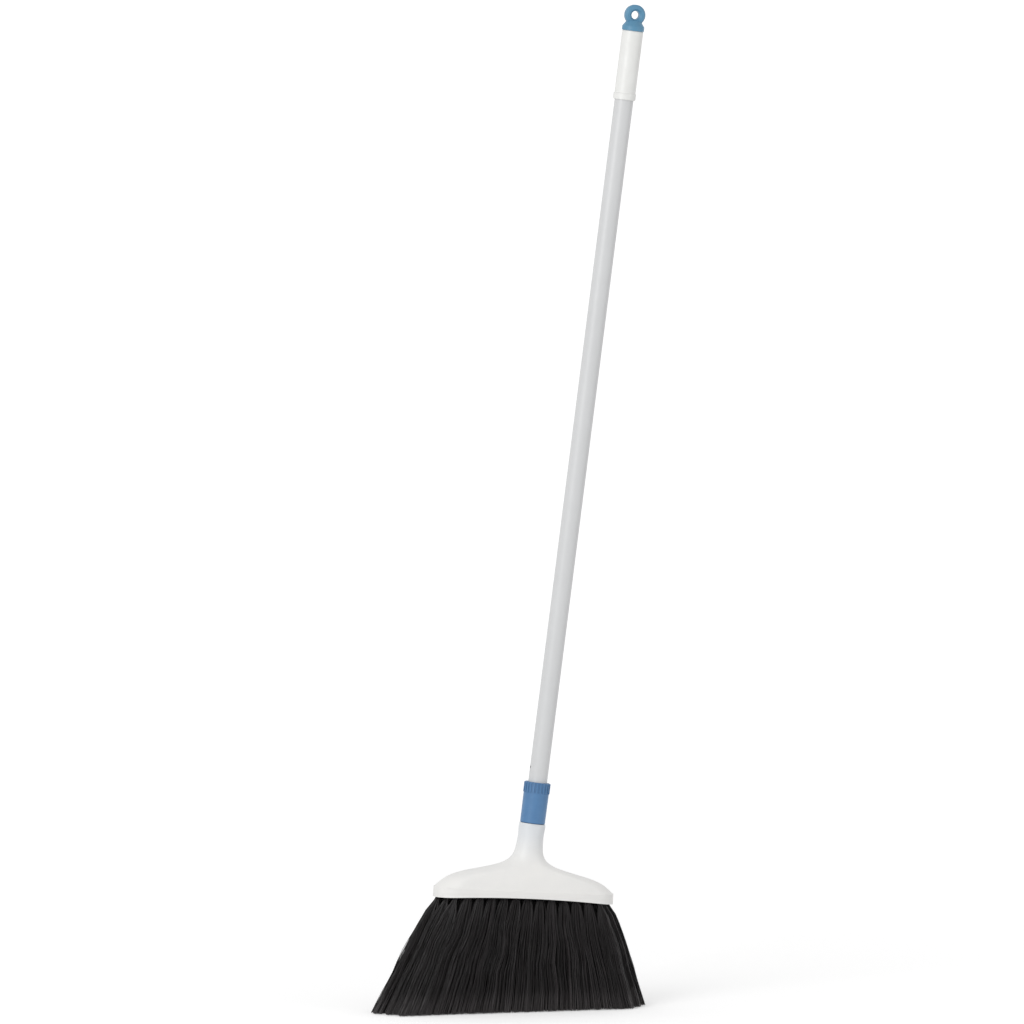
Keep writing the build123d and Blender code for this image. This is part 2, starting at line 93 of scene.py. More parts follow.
def add_node(tree, kind, sockets=None, **settings):
    """A node in a tree. Each socket takes a plain value, or another node's output as a link."""
    node = tree.nodes.new(kind)
    for name, value in settings.items():
        setattr(node, name, value)
    for key, value in (sockets or {}).items():
        if isinstance(value, bpy.types.NodeSocket):
            tree.links.new(value, node.inputs[key])
        else:
            node.inputs[key].default_value = value
    return node


def vector_math(tree, operation, *operands):
    node = add_node(tree, "ShaderNodeVectorMath", dict(enumerate(operands)), operation=operation)
    return node.outputs["Value" if operation in ("DOT_PRODUCT", "LENGTH") else "Vector"]


def scaled(tree, vector, factor):
    node = add_node(tree, "ShaderNodeVectorMath", {0: vector, "Scale": factor}, operation="SCALE")
    return node.outputs["Vector"]


def number_math(tree, operation, *operands):
    return add_node(tree, "ShaderNodeMath", dict(enumerate(operands)), operation=operation).outputs[0]


def geometry_tree(name, inputs):
    """An empty geometry tree, its sockets in and out, with the named inputs given as socket types."""
    tree = bpy.data.node_groups.new(name, "GeometryNodeTree")
    tree.interface.new_socket("Geometry", in_out="INPUT", socket_type="NodeSocketGeometry")
    for label, socket_type in inputs.items():
        tree.interface.new_socket(label, in_out="INPUT", socket_type=socket_type)
    tree.interface.new_socket("Geometry", in_out="OUTPUT", socket_type="NodeSocketGeometry")
    return tree, tree.nodes.new("NodeGroupInput").outputs, tree.nodes.new("NodeGroupOutput").inputs


def end_tree(tree, geometry, material, result):
    """Realize and dress what a tree has made."""
    real = add_node(tree, "GeometryNodeRealizeInstances", {"Geometry": geometry}).outputs["Geometry"]
    dressed = add_node(tree, "GeometryNodeSetMaterial", {"Geometry": real, "Material": material})
    tree.links.new(dressed.outputs["Geometry"], result["Geometry"])


def grow(name, seed_mesh, tree, values):
    """Run a geometry tree on a mesh and keep the result as a plain mesh object."""
    grower = bpy.data.objects.new(f"{name}_grower", seed_mesh)
    bpy.context.scene.collection.objects.link(grower)
    modifier = grower.modifiers.new(tree.name, "NODES")
    modifier.node_group = tree
    for item in tree.interface.items_tree:
        if item.in_out == "INPUT" and item.name in values:
            modifier[item.identifier] = values[item.name]
    depsgraph = bpy.context.evaluated_depsgraph_get()
    mesh = bpy.data.meshes.new_from_object(grower.evaluated_get(depsgraph), depsgraph=depsgraph)
    mesh.name = name
    mesh.shade_smooth()
    grower.modifiers.remove(modifier)
    bpy.data.objects.remove(grower)
    piece = bpy.data.objects.new(name, mesh)
    bpy.context.scene.collection.objects.link(piece)
    return piece


def new_material(name, **constants):
    """A material, its tree and its Principled shader, with what is the same all over set on the shader."""
    material = bpy.data.materials.new(name)
    material.use_nodes = True
    shader = material.node_tree.nodes["Principled BSDF"]
    for label, value in constants.items():
        shader.inputs[label.replace("_", " ")].default_value = value
    return material, material.node_tree, shader


def ranged(tree, value, low, high, from_low=0.0, from_high=1.0, curve="LINEAR"):
    """A value mapped from one range to another and held at its ends."""
    sockets = {"Value": value, "From Min": from_low, "From Max": from_high, "To Min": low, "To Max": high}
    return add_node(tree, "ShaderNodeMapRange", sockets, interpolation_type=curve).outputs["Result"]


def mixed_colour(tree, share, first, second):
    sockets = {0: share, 6: first, 7: second}
    return add_node(tree, "ShaderNodeMix", sockets, data_type="RGBA").outputs[2]


def bristle_material():
    """Black filaments that differ a little from each other in tone and by painted sheen streaks in clumps,
    greyer towards the cut and dusty ends.
    """
    material, tree, shader = new_material("black_bristle", IOR=1.49, Specular_IOR_Level=0.38)
    # the shade attribute is each filament's random tone times the painted sheen of its clump
    shade = add_node(tree, "ShaderNodeAttribute", attribute_name="shade").outputs["Fac"]
    along = add_node(tree, "ShaderNodeAttribute", attribute_name="along").outputs["Fac"]
    colour = mixed_colour(tree, shade, FILAMENT_BLACK, FILAMENT_GREY)
    dust = ranged(tree, along, 0.0, DUST_COVER, DUST_START, DUST_FULL, curve="SMOOTHSTEP")
    colour = mixed_colour(tree, dust, colour, DUST_GREY)
    tree.links.new(colour, shader.inputs["Base Color"])
    tree.links.new(ranged(tree, shade, 0.36, 0.56), shader.inputs["Roughness"])
    return material


def bristle_tree():
    """Filaments from each point of a mesh, the root of a tuft, to the point that its tip_centre gives."""
    tree, given, result = geometry_tree(
        "bristle_tufts",
        {
            "Filaments": "NodeSocketInt",
            "Root": "NodeSocketVector",
            "Flare": "NodeSocketVector",
            "Splay": "NodeSocketFloat",
            "Stray": "NodeSocketVector",
            "Bow": "NodeSocketFloat",
            "Wave": "NodeSocketFloat",
            "Waves": "NodeSocketFloat",
            "Sway": "NodeSocketFloat",
            "Sways": "NodeSocketFloat",
            "Clumps": "NodeSocketFloat",
            "Filament Radius": "NodeSocketFloat",
            "Filament Points": "NodeSocketInt",
            "Filament Sides": "NodeSocketInt",
            "Seed": "NodeSocketInt",
            "Material": "NodeSocketMaterial",
        },
    )

    def random_number(high, draw):
        sockets = {3: high, "Seed": number_math(tree, "ADD", given["Seed"], draw)}
        return add_node(tree, "FunctionNodeRandomValue", sockets, data_type="FLOAT").outputs[1]

    def random_vector(draw, reach=(1, 1, 1)):
        seed = number_math(tree, "ADD", given["Seed"], draw)
        sockets = {0: tuple(-side for side in reach), 1: reach, "Seed": seed}
        return add_node(tree, "FunctionNodeRandomValue", sockets, data_type="FLOAT_VECTOR").outputs[0]

    def waver(place, waves):
        """Smooth wandering numbers at a place, the first as one number and all three as a vector."""
        sockets = {"Vector": place, "Scale": waves, "Detail": 0.0}
        return add_node(tree, "ShaderNodeTexNoise", sockets).outputs

    def tuft_value(name, data_type):
        node = add_node(tree, "GeometryNodeInputNamedAttribute", {"Name": name}, data_type=data_type)
        return node.outputs["Attribute"]

    points = add_node(tree, "GeometryNodeMeshToPoints", {"Mesh": given["Geometry"]}).outputs["Points"]
    amount = number_math(tree, "MULTIPLY", given["Filaments"], tuft_value("fullness", "FLOAT"))
    sockets = {"Geometry": points, "Amount": amount}
    copies = add_node(tree, "GeometryNodeDuplicateElements", sockets, domain="POINT").outputs["Geometry"]

    # A filament keeps its place in the tuft from root to tip, so filaments don't cross
    in_tuft = random_vector(1, (1, 1, 0))
    root = add_node(tree, "GeometryNodeInputPosition").outputs["Position"]
    tip_centre = tuft_value("tip_centre", "FLOAT_VECTOR")
    tip = vector_math(tree, "MULTIPLY_ADD", random_vector(2), given["Stray"], tip_centre)
    # Clumps of filaments are made lighter together as painted sheen streaks, then each filament's random
    # tone is laid over it
    clump = waver(vector_math(tree, "MULTIPLY_ADD", in_tuft, given["Flare"], tip), given["Clumps"])["Fac"]
    clump_sheen = ranged(tree, clump, 0.2, 1.0, from_low=0.3, from_high=0.7)
    capture = tree.nodes.new("GeometryNodeCaptureAttribute")
    tree.links.new(copies, capture.inputs["Geometry"])
    for label, kind, value in (
        ("In Tuft", "VECTOR", in_tuft),
        ("Root", "VECTOR", root),
        ("Tip", "VECTOR", tip),
        ("Bow", "VECTOR", scaled(tree, random_vector(3), given["Bow"])),
        ("Wave", "VECTOR", scaled(tree, random_vector(4), given["Wave"])),
        ("Sway", "FLOAT", number_math(tree, "MULTIPLY", given["Sway"], tuft_value("looseness", "FLOAT"))),
        ("Held", "FLOAT", tuft_value("held", "FLOAT")),
        ("Phase", "FLOAT", random_number(2 * pi, 5)),
        ("Shade", "FLOAT", number_math(tree, "MULTIPLY", clump_sheen, random_number(1.0, 6))),
    ):
        capture.capture_items.new(kind, label)
        tree.links.new(value, capture.inputs[label])
    kept = capture.outputs

    line = add_node(tree, "GeometryNodeCurvePrimitiveLine").outputs["Curve"]
    sockets = {"Curve": line, "Count": given["Filament Points"]}
    filament = add_node(tree, "GeometryNodeResampleCurve", sockets).outputs["Curve"]
    sockets = {"Points": kept["Geometry"], "Instance": filament}
    instances = add_node(tree, "GeometryNodeInstanceOnPoints", sockets).outputs["Instances"]
    curves = add_node(tree, "GeometryNodeRealizeInstances", {"Geometry": instances}).outputs["Geometry"]
    share = add_node(tree, "GeometryNodeSplineParameter").outputs["Factor"]
    for label, value in (("shade", kept["Shade"]), ("along", share)):
        sockets = {"Geometry": curves, "Name": label, "Value": value}
        store = add_node(tree, "GeometryNodeStoreNamedAttribute", sockets, data_type="FLOAT", domain="POINT")
        curves = store.outputs["Geometry"]

    # Along the tuft's straight middle, at the filament's place in the tuft, which widens towards the trim
    run = vector_math(tree, "SUBTRACT", kept["Tip"], kept["Root"])
    middle_line = vector_math(tree, "ADD", kept["Root"], scaled(tree, run, share))
    below_skirt = ranged(tree, share, 0.0, 1.0, from_low=kept["Held"])
    widened = number_math(tree, "POWER", below_skirt, given["Splay"])
    growth = vector_math(tree, "SUBTRACT", given["Flare"], given["Root"])
    spread = vector_math(tree, "ADD", given["Root"], scaled(tree, growth, widened))
    even = vector_math(tree, "MULTIPLY_ADD", kept["In Tuft"], spread, middle_line)

    # Out of that line by its own bow and crimp and by a sway with its neighbours, which end at root and tip
    cycles = number_math(tree, "MULTIPLY", share, number_math(tree, "MULTIPLY", given["Waves"], 2 * pi))
    crimp = number_math(tree, "SINE", number_math(tree, "ADD", cycles, kept["Phase"]))
    bent = vector_math(tree, "ADD", kept["Bow"], scaled(tree, kept["Wave"], crimp))
    sway = vector_math(tree, "SUBTRACT", waver(even, given["Sways"])["Color"], (0.5, 0.5, 0.5))
    sway = scaled(tree, sway, number_math(tree, "MULTIPLY", kept["Sway"], 2.0))
    bent = vector_math(tree, "ADD", bent, sway)
    hump = number_math(tree, "SINE", number_math(tree, "MULTIPLY", share, pi))
    place = vector_math(tree, "ADD", even, scaled(tree, bent, hump))
    laid = add_node(tree, "GeometryNodeSetPosition", {"Geometry": curves, "Position": place})
    sockets = {"Resolution": given["Filament Sides"], "Radius": given["Filament Radius"]}
    section = add_node(tree, "GeometryNodeCurvePrimitiveCircle", sockets).outputs["Curve"]
    sockets = {"Curve": laid.outputs["Geometry"], "Profile Curve": section, "Fill Caps": True}
    tubes = add_node(tree, "GeometryNodeCurveToMesh", sockets).outputs["Mesh"]
    end_tree(tree, tubes, given["Material"], result)
    return tree


def split_at_gaps(points, coordinate):
    """Points sorted by one coordinate, in groups with a wide gap between one and the next."""
    points = sorted(points, key=lambda point: point[coordinate])
    groups = [[points[0]]]
    for before, point in zip(points, points[1:]):
        if point[coordinate] - before[coordinate] > TUFT_GAP:
            groups.append([])
        groups[-1].append(point)
    return groups


def middle(points):
    return sum(points, Vector()) / len(points)


nodes = frame["nodes"]
row_names = sorted(name for name in nodes if name.startswith("bristle_row_"))
anchor_corners = [vertex.co for vertex in nodes["tuft_anchors"].data.vertices]
anchor_rows = [
    [middle(anchor) for anchor in split_at_gaps(row, 0)] for row in split_at_gaps(anchor_corners, 1)
]
head_along = (anchor_rows[0][-1] - anchor_rows[0][0]).normalized()
head_axis = head_along.cross(Vector((0, 1, 0)))
block_foot = min(vertex.co.dot(head_axis) for vertex in nodes["bristle_block"].data.vertices)
root_drop = anchor_rows[0][0].dot(head_axis) - block_foot - TUFT_ROOT_INSET
edge = STRAY + FILAMENT_RADIUS
longest_reach = max(row[-1].x - row[0].x for row in anchor_rows) / 2
depth_spread = (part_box(row_names[-1])[1].y - TUFT_FLARE_DEPTH - edge) / anchor_rows[-1][0].y
black_bristle = bristle_material()
tufts_tree = bristle_tree()
for number, (name, anchors) in enumerate(zip(row_names, anchor_rows), start=1):
    row_middle = middle(anchors)
    outs = [anchor.x - row_middle.x for anchor in anchors]
    row_reach = outs[-1]
    width_spread = (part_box(name)[1].x - TUFT_FLARE_WIDTH - edge) / row_reach
    roots = bpy.data.meshes.new(f"{name}_roots")
    roots.from_pydata([anchor - head_axis * root_drop for anchor in anchors], [], [])
    tip_height = FILAMENT_RADIUS + TRIM_UNEVENNESS / 2
    tips = [(out * width_spread, anchor.y * depth_spread, tip_height) for out, anchor in zip(outs, anchors)]
    end_shares = [abs(out) / longest_reach for out in outs]
    inner_held = [HELD + (END_HELD - HELD) * share**2 for share in end_shares[1:-1]]
    roots.attributes.new("tip_centre", "FLOAT_VECTOR", "POINT")
    roots.attributes["tip_centre"].data.foreach_set("vector", [value for tip in tips for value in tip])
    for label, values in (
        ("fullness", [END_FULLNESS, *[1.0] * len(inner_held), END_FULLNESS]),
        ("looseness", [1 - END_STEADINESS * share**3 for share in end_shares]),
        ("held", [END_HELD, *inner_held, END_HELD]),
    ):
        roots.attributes.new(label, "FLOAT", "POINT")
        roots.attributes[label].data.foreach_set("value", values)
    bristles = grow(
        f"bristles_{number}",
        roots,
        tufts_tree,
        {
            "Filaments": FILAMENTS_IN_TUFT,
            "Root": (TUFT_ROOT, TUFT_ROOT, 0.0),
            "Flare": (TUFT_FLARE_WIDTH, TUFT_FLARE_DEPTH, 0.0),
            "Splay": SPLAY,
            "Stray": (STRAY, STRAY, TRIM_UNEVENNESS / 2),
            "Bow": BOW,
            "Wave": WAVE,
            "Waves": WAVES_IN_FILAMENT,
            "Sway": SWAY,
            "Sways": SWAYS_IN_METRE,
            "Clumps": CLUMPS_IN_METRE,
            "Filament Radius": FILAMENT_RADIUS,
            "Filament Points": FILAMENT_POINTS,
            "Filament Sides": FILAMENT_SIDES,
            "Seed": 10 * number,
            "Material": black_bristle,
        },
    )
    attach(bristles, "head")
    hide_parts(name)


# Tuft anchors, block screws and the pin of the ferrule: zinc-plated steel. The anchors are flat wires that
# are pressed into the block, the screws cut their own thread in the cover, the pin is a rolled spring pin.
ZINC_DARK = (0.52, 0.53, 0.54, 1)
ZINC_BRIGHT = (0.66, 0.66, 0.65, 1)


def shader_group(name, inputs, outputs):
    """An empty shader group, with named float inputs and float outputs."""
    tree = bpy.data.node_groups.new(name, "ShaderNodeTree")
    for label, value in inputs.items():
        tree.interface.new_socket(label, in_out="INPUT", socket_type="NodeSocketFloat").default_value = value
    for label in outputs:
        tree.interface.new_socket(label, in_out="OUTPUT", socket_type="NodeSocketFloat")
    return tree, tree.nodes.new("NodeGroupInput").outputs, tree.nodes.new("NodeGroupOutput").inputs


def noise(tree, vector, scale, detail=2.0, roughness=0.5):
    sockets = {"Vector": vector, "Scale": scale, "Detail": detail, "Roughness": roughness}
    return add_node(tree, "ShaderNodeTexNoise", sockets).outputs["Fac"]


def object_place(tree):
    return add_node(tree, "ShaderNodeTexCoord").outputs["Object"]


def surface_grain_group():
    """Fine relief of a surface in metres, and a broad mottle from 0 to 1."""
    tree, given, result = shader_group(
        "surface_grain", {"Fineness": 1500.0, "Depth": 0.00001, "Mottle Scale": 30.0}, ("Height", "Mottle")
    )
    place = object_place(tree)
    relief = noise(tree, place, given["Fineness"], detail=3.0)
    tree.links.new(number_math(tree, "MULTIPLY", relief, given["Depth"]), result["Height"])
    broad = noise(tree, place, given["Mottle Scale"], detail=4.0, roughness=0.6)
    tree.links.new(ranged(tree, broad, 0.0, 1.0, from_low=0.3, from_high=0.7), result["Mottle"])
    return tree


def add_group(tree, group, **values):
    node = add_node(tree, "ShaderNodeGroup", node_tree=group)
    for label, value in values.items():
        node.inputs[label.replace("_", " ")].default_value = value
    return node.outputs


def add_relief(tree, shader, height):
    """Turn a height in metres into the shader's normal."""
    bump = add_node(tree, "ShaderNodeBump", {"Height": height, "Distance": 1.0, "Strength": 1.0})
    tree.links.new(bump.outputs["Normal"], shader.inputs["Normal"])


def dress(material, *names):
    """Give CAD nodes a material."""
    for name in names:
        mesh = nodes[name].data
        if not mesh.materials:
            mesh.materials.append(material)
        for slot in nodes[name].material_slots:
            slot.material = material


surface_grain = surface_grain_group()
zinc, tree, shader = new_material("zinc_plated_steel", Metallic=1.0)
grain = add_group(tree, surface_grain, Fineness=900.0, Depth=0.000004, Mottle_Scale=220.0)
colour = mixed_colour(tree, grain["Mottle"], ZINC_DARK, ZINC_BRIGHT)
tree.links.new(colour, shader.inputs["Base Color"])
tree.links.new(ranged(tree, grain["Mottle"], 0.24, 0.40), shader.inputs["Roughness"])
add_relief(tree, shader, grain["Height"])
dress(zinc, "tuft_anchors", "block_screws", "ferrule_pin")


# Bristle block: a plate of black moulded plastic, drilled for the tufts and screwed up into the cover.
# Only its underside shows, between the roots of the tufts, with a coarse grain and a little grey dust.
BLOCK_BLACK = (0.016, 0.016, 0.017, 1)
BLOCK_DUSTY = (0.045, 0.043, 0.041, 1)
block_plastic, tree, shader = new_material("black_block_plastic", IOR=1.48)
grain = add_group(tree, surface_grain, Fineness=700.0, Depth=0.00004, Mottle_Scale=60.0)
colour = mixed_colour(tree, grain["Mottle"], BLOCK_BLACK, BLOCK_DUSTY)
tree.links.new(colour, shader.inputs["Base Color"])
tree.links.new(ranged(tree, grain["Mottle"], 0.45, 0.70), shader.inputs["Roughness"])
add_relief(tree, shader, grain["Height"])
dress(block_plastic, "bristle_block")


# Head cover: one bell-shaped moulding of satin white plastic, with painted shade and a painted blue
# reflection of the collar up its thick neck. It carries the block inside its skirt, and its spout has a
# thread for the collar. Grey dust lies along the skirt.
COVER_WHITE = (0.815, 0.805, 0.785, 1)
COVER_SHADE = (0.775, 0.770, 0.755, 1)
# painted shade under the collar, with a painted blue reflection of the collar
NECK_SHADE_AND_REFLECTION = (0.655, 0.683, 0.718, 1)
NECK_SHADE_RISE = 0.060  # below the collar, over which the painted shade and blue reflection grow
NECK_SHADE_SHARE = 0.8  # share of the painted shade and blue reflection at the collar
SKIRT_DUST = (0.60, 0.59, 0.57, 1)
SKIRT_DUST_COVER = 0.30  # share of the dust's colour where it lies thickest
DUST_RISE = 0.012  # up the skirt, from its foot
DUST_PATCHES_IN_METRE = 140.0
THREAD_LEAD = 0.005
THREAD_START = 0.004  # above the neck, where the thread runs out
THREAD_END = 0.003  # below the top of the spout
THREAD_CREST_GAP = 0.0001  # between the thread's crest and the collar's bore
THREAD_FOOT = 0.0030  # width of the ridge at its root
THREAD_TOP = 0.0012  # and at its crest
THREAD_ROOT_INSET = 0.0002  # of the ridge into the spout
THREAD_STEPS = 40  # in a turn
RIM = 0.0012  # height of the rims that the radii of spout and bore are read from

pole_axis = Vector(frame["joints"][0]["axis"]).normalized()


def heights_on_pole(name):
    """Lowest and highest point of a node along the pole's axis."""
    heights = [vertex.co.dot(pole_axis) for vertex in nodes[name].data.vertices]
    return min(heights), max(heights)


def radii_on_pole(name, low, high):
    """Distances from the pole's axis of a node's corners between two heights, the least and the greatest."""
    corners = [vertex.co for vertex in nodes[name].data.vertices if low <= vertex.co.dot(pole_axis) <= high]
    radii = [(corner - pole_axis * corner.dot(pole_axis)).length for corner in corners]
    return min(radii), max(radii)


collar_foot = heights_on_pole("screw_collar")[0]
skirt_foot = min(vertex.co.dot(head_axis) for vertex in nodes["head_cover"].data.vertices)
cover_plastic, tree, shader = new_material("white_cover_plastic", IOR=1.49)
grain = add_group(tree, surface_grain, Fineness=1800.0, Depth=0.000012, Mottle_Scale=24.0)
place = object_place(tree)
colour = mixed_colour(tree, grain["Mottle"], COVER_WHITE, COVER_SHADE)
along = vector_math(tree, "DOT_PRODUCT", place, tuple(pole_axis))
# painted shade and painted blue reflection of the collar, growing up the neck
neck_shade = ranged(tree, along, 0.0, NECK_SHADE_SHARE, collar_foot - NECK_SHADE_RISE, collar_foot, curve="SMOOTHSTEP")
colour = mixed_colour(tree, neck_shade, colour, NECK_SHADE_AND_REFLECTION)
height = vector_math(tree, "DOT_PRODUCT", place, tuple(head_axis))
low = ranged(tree, height, 1.0, 0.0, skirt_foot, skirt_foot + DUST_RISE, curve="SMOOTHSTEP")
patches = noise(tree, place, DUST_PATCHES_IN_METRE, detail=5.0, roughness=0.65)
patchy = ranged(tree, patches, 0.0, SKIRT_DUST_COVER, from_low=0.42, from_high=0.72)
colour = mixed_colour(tree, number_math(tree, "MULTIPLY", low, patchy), colour, SKIRT_DUST)
tree.links.new(colour, shader.inputs["Base Color"])
tree.links.new(ranged(tree, grain["Mottle"], 0.38, 0.50), shader.inputs["Roughness"])
add_relief(tree, shader, grain["Height"])
dress(cover_plastic, "head_cover")


def thread_tree():
    """A right-hand thread: a trapezium swept up a helix round Z, then stood on the pole's axis."""
    tree, given, result = geometry_tree(
        "spout_thread",
        {
            "Turns": "NodeSocketFloat",
            "Steps": "NodeSocketInt",
            "Height": "NodeSocketFloat",
            "Root Radius": "NodeSocketFloat",
            "Ridge Height": "NodeSocketFloat",
            "Ridge Foot": "NodeSocketFloat",
            "Ridge Top": "NodeSocketFloat",
            "Place": "NodeSocketVector",
            "Lean": "NodeSocketRotation",
            "Material": "NodeSocketMaterial",
        },
    )
    centre_radius = number_math(tree, "MULTIPLY_ADD", given["Ridge Height"], 0.5, given["Root Radius"])
    sockets = {
        "Resolution": given["Steps"],
        "Rotations": given["Turns"],
        "Start Radius": centre_radius,
        "End Radius": centre_radius,
        "Height": given["Height"],
    }
    helix = add_node(tree, "GeometryNodeCurveSpiral", sockets).outputs["Curve"]
    sockets = {
        "Height": given["Ridge Height"],
        "Bottom Width": given["Ridge Foot"],
        "Top Width": given["Ridge Top"],
        "Offset": 0.0,
    }
    section = add_node(tree, "GeometryNodeCurvePrimitiveQuadrilateral", sockets, mode="TRAPEZOID")
    upright = add_node(tree, "GeometryNodeSetCurveNormal", {"Curve": helix}, mode="Z_UP").outputs["Curve"]
    sockets = {"Curve": upright, "Profile Curve": section.outputs["Curve"], "Fill Caps": True}
    ridge = add_node(tree, "GeometryNodeCurveToMesh", sockets).outputs["Mesh"]
    sockets = {"Geometry": ridge, "Translation": given["Place"], "Rotation": given["Lean"]}
    stood = add_node(tree, "GeometryNodeTransform", sockets).outputs["Geometry"]
    end_tree(tree, stood, given["Material"], result)
    return tree


spout_top = heights_on_pole("head_cover")[1]
spout_radius = radii_on_pole("head_cover", spout_top - RIM, spout_top)[1]
bore_radius = radii_on_pole("screw_collar", collar_foot - RIM, collar_foot + RIM)[0]
thread_foot = collar_foot + THREAD_START
thread_height = spout_top - THREAD_END - thread_foot
root_radius = spout_radius - THREAD_ROOT_INSET
thread_turns = thread_height / THREAD_LEAD
spout_thread = grow(
    "spout_thread",
    bpy.data.meshes.new("spout_thread_seed"),
    thread_tree(),
    {
        "Turns": thread_turns,
        "Steps": THREAD_STEPS,
        "Height": thread_height,
        "Root Radius": root_radius,
        "Ridge Height": bore_radius - THREAD_CREST_GAP - root_radius,
        "Ridge Foot": THREAD_FOOT,
        "Ridge Top": THREAD_TOP,
        "Place": pole_axis * thread_foot,
        "Lean": pole_axis.to_track_quat("Z", "Y").to_euler(),
        "Material": cover_plastic,
    },
)
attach(spout_thread, "head")


# Pole ferrule: a moulding of pale nylon. Its plug is pinned in the foot of the tube, the collar's lip lies
# over its flange, and its spigot has a key that keeps the pole from turning in the neck.
NYLON_PALE = (0.73, 0.71, 0.65, 1)
NYLON_SHADE = (0.68, 0.655, 0.585, 1)
nylon, tree, shader = new_material("pale_nylon", IOR=1.53)
grain = add_group(tree, surface_grain, Fineness=1200.0, Depth=0.00001, Mottle_Scale=45.0)
colour = mixed_colour(tree, grain["Mottle"], NYLON_PALE, NYLON_SHADE)
tree.links.new(colour, shader.inputs["Base Color"])
tree.links.new(ranged(tree, grain["Mottle"], 0.40, 0.52), shader.inputs["Roughness"])
add_relief(tree, shader, grain["Height"])
dress(nylon, "pole_ferrule")


# Pole tube: welded steel tube, rolled thin and powder coated white. The coat has a slight orange peel, and
# handling has left faint grey rub marks that run along the tube.
POLE_WHITE = (0.612, 0.618, 0.624, 1)
POLE_SHADE = (0.590, 0.596, 0.602, 1)
RUB_GREY = (0.47, 0.47, 0.47, 1)
POLE_RUB = 0.35  # share of the rub marks' colour


def rub_marks_group():
    """A mask of thin marks that run along the pole's axis, in patches."""
    tree, given, result = shader_group(
        "rub_marks", {"Round": 900.0, "Along": 9.0, "Patch Scale": 7.0}, ("Mask",)
    )
    place = object_place(tree)
    along = vector_math(tree, "DOT_PRODUCT", place, tuple(pole_axis))
    lengthwise = scaled(tree, tuple(pole_axis), along)
    round_pole = vector_math(tree, "SUBTRACT", place, lengthwise)
    drawn = vector_math(
        tree,
        "ADD",
        scaled(tree, round_pole, given["Round"]),
        scaled(tree, lengthwise, given["Along"]),
    )
    lines = ranged(tree, noise(tree, drawn, 1.0, detail=2.0), 0.0, 1.0, 0.62, 0.74)
    patches = ranged(tree, noise(tree, place, given["Patch Scale"], detail=3.0), 0.0, 1.0, 0.50, 0.68)
    tree.links.new(number_math(tree, "MULTIPLY", lines, patches), result["Mask"])
    return tree


rub_marks = rub_marks_group()
coating, tree, shader = new_material("white_pole_coating", IOR=1.5)
grain = add_group(tree, surface_grain, Fineness=620.0, Depth=0.000014, Mottle_Scale=14.0)
rubbed = add_group(tree, rub_marks, Round=900.0, Along=9.0, Patch_Scale=7.0)["Mask"]
colour = mixed_colour(tree, grain["Mottle"], POLE_WHITE, POLE_SHADE)
faint = number_math(tree, "MULTIPLY", rubbed, POLE_RUB)
tree.links.new(mixed_colour(tree, faint, colour, RUB_GREY), shader.inputs["Base Color"])
tree.links.new(ranged(tree, rubbed, 0.34, 0.48), shader.inputs["Roughness"])
add_relief(tree, shader, grain["Height"])
dress(coating, "pole_tube")


# Screw collar: blue satin plastic, turned by hand on the pole. It pulls the ferrule's flange down on the
# spout. The ribs of its upper band give a grip, and painted shade darkens the grooves between them.
COLLAR_BLUE = (0.080, 0.203, 0.396, 1)
COLLAR_SHADE = (0.069, 0.178, 0.355, 1)
# painted shade for the grooves between the ribs
GROOVE_SHADE_BLUE = (0.062, 0.156, 0.312, 1)
BAND_HEIGHT = 0.014
RIB_HEIGHT = 0.0007
GROOVE_SHADE_SHARE = 0.75  # share of the painted shade's colour at the grooves' deepest
collar_top = heights_on_pole("screw_collar")[1]
band_foot = collar_top - BAND_HEIGHT
crest_radius = radii_on_pole("screw_collar", band_foot, collar_top)[1]


def blue_plastic_material(name, blue, shade, shade_mask=None):
    """The blue moulding of the collar and of the cap, with painted shade where a mask is given."""
    material, tree, shader = new_material(name, IOR=1.49)
    grain = add_group(tree, surface_grain, Fineness=1500.0, Depth=0.00001, Mottle_Scale=55.0)
    colour = mixed_colour(tree, grain["Mottle"], blue, shade)
    if shade_mask:
        # painted shade where the mask is set
        colour = mixed_colour(tree, shade_mask(tree), colour, GROOVE_SHADE_BLUE)
    tree.links.new(colour, shader.inputs["Base Color"])
    tree.links.new(ranged(tree, grain["Mottle"], 0.36, 0.48), shader.inputs["Roughness"])
    add_relief(tree, shader, grain["Height"])
    return material


def collar_groove_shade(tree):
    """Painted shade where the collar's surface lies below the crests of its ribs, on the band at its top."""
    place = object_place(tree)
    along = vector_math(tree, "DOT_PRODUCT", place, tuple(pole_axis))
    lengthwise = scaled(tree, tuple(pole_axis), along)
    out = vector_math(tree, "LENGTH", vector_math(tree, "SUBTRACT", place, lengthwise))
    # painted shade, deepest at the foot of the grooves between the ribs
    deep = ranged(tree, out, GROOVE_SHADE_SHARE, 0.0, crest_radius - RIB_HEIGHT, crest_radius - RIB_HEIGHT / 4)
    in_band = ranged(tree, along, 0.0, 1.0, band_foot - RIB_HEIGHT, band_foot + RIB_HEIGHT)
    return number_math(tree, "MULTIPLY", deep, in_band)


collar_plastic = blue_plastic_material("blue_collar_plastic", COLLAR_BLUE, COLLAR_SHADE, collar_groove_shade)
dress(collar_plastic, "screw_collar")


